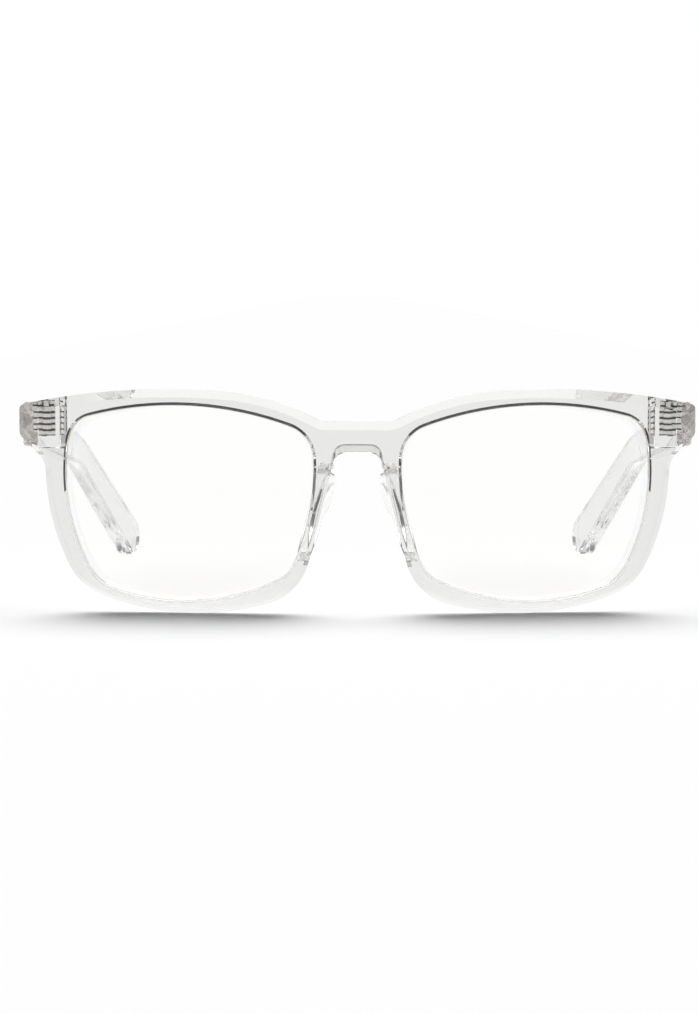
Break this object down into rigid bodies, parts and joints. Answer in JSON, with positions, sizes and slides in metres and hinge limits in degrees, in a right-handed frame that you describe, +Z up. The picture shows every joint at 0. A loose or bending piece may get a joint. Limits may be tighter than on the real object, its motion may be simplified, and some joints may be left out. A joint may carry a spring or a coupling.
{
  "type": "spectacles",
  "caption": "Clear full-rim spectacles with a wrapped front, bevelled clear lenses, glued nose pads and temples that fold on screwed barrel hinges.",
  "frame": {"origin": "centre of the bounding box's underside: on the table the glasses stand on, in the middle of the face, halfway between the front and the temple tips", "axes": "+X to the wearer's left (the right of someone facing the glasses), -Y the way the wearer looks, +Z up"},
  "size_m": [0.1426, 0.1526, 0.047],
  "materials": {
    "clear_frame": "polished clear nylon plastic",
    "clear_temple": "polished clear nylon plastic",
    "lens": "coated clear polycarbonate, very slightly yellow",
    "nose_pad": "polished clear plastic",
    "hinge_steel": "nickel silver hinge leaves",
    "screw_steel": "stainless steel screw"
  },
  "bodies": {
    "front": {"front_frame": "clear_frame", "lens_left": "lens", "nose_pad_left": "nose_pad", "front_leaf_left": "hinge_steel", "hinge_screw_left": "screw_steel", "lens_right": "lens", "nose_pad_right": "nose_pad", "front_leaf_right": "hinge_steel", "hinge_screw_right": "screw_steel"},
    "temple_left": {"temple_left": "clear_temple", "temple_leaf_left": "hinge_steel"},
    "temple_right": {"temple_right": "clear_temple", "temple_leaf_right": "hinge_steel"}
  },
  "joints": [
    {"name": "fold_left", "type": "hinge", "parent": "front", "child": "temple_left", "pos_m": [0.0659, -0.0595, 0.04], "axis": [0, 0, 1], "range_deg": [0, 88]},
    {"name": "fold_right", "type": "hinge", "parent": "front", "child": "temple_right", "pos_m": [-0.0659, -0.0595, 0.04], "axis": [0, 0, -1], "range_deg": [0, 80]}
  ]
}
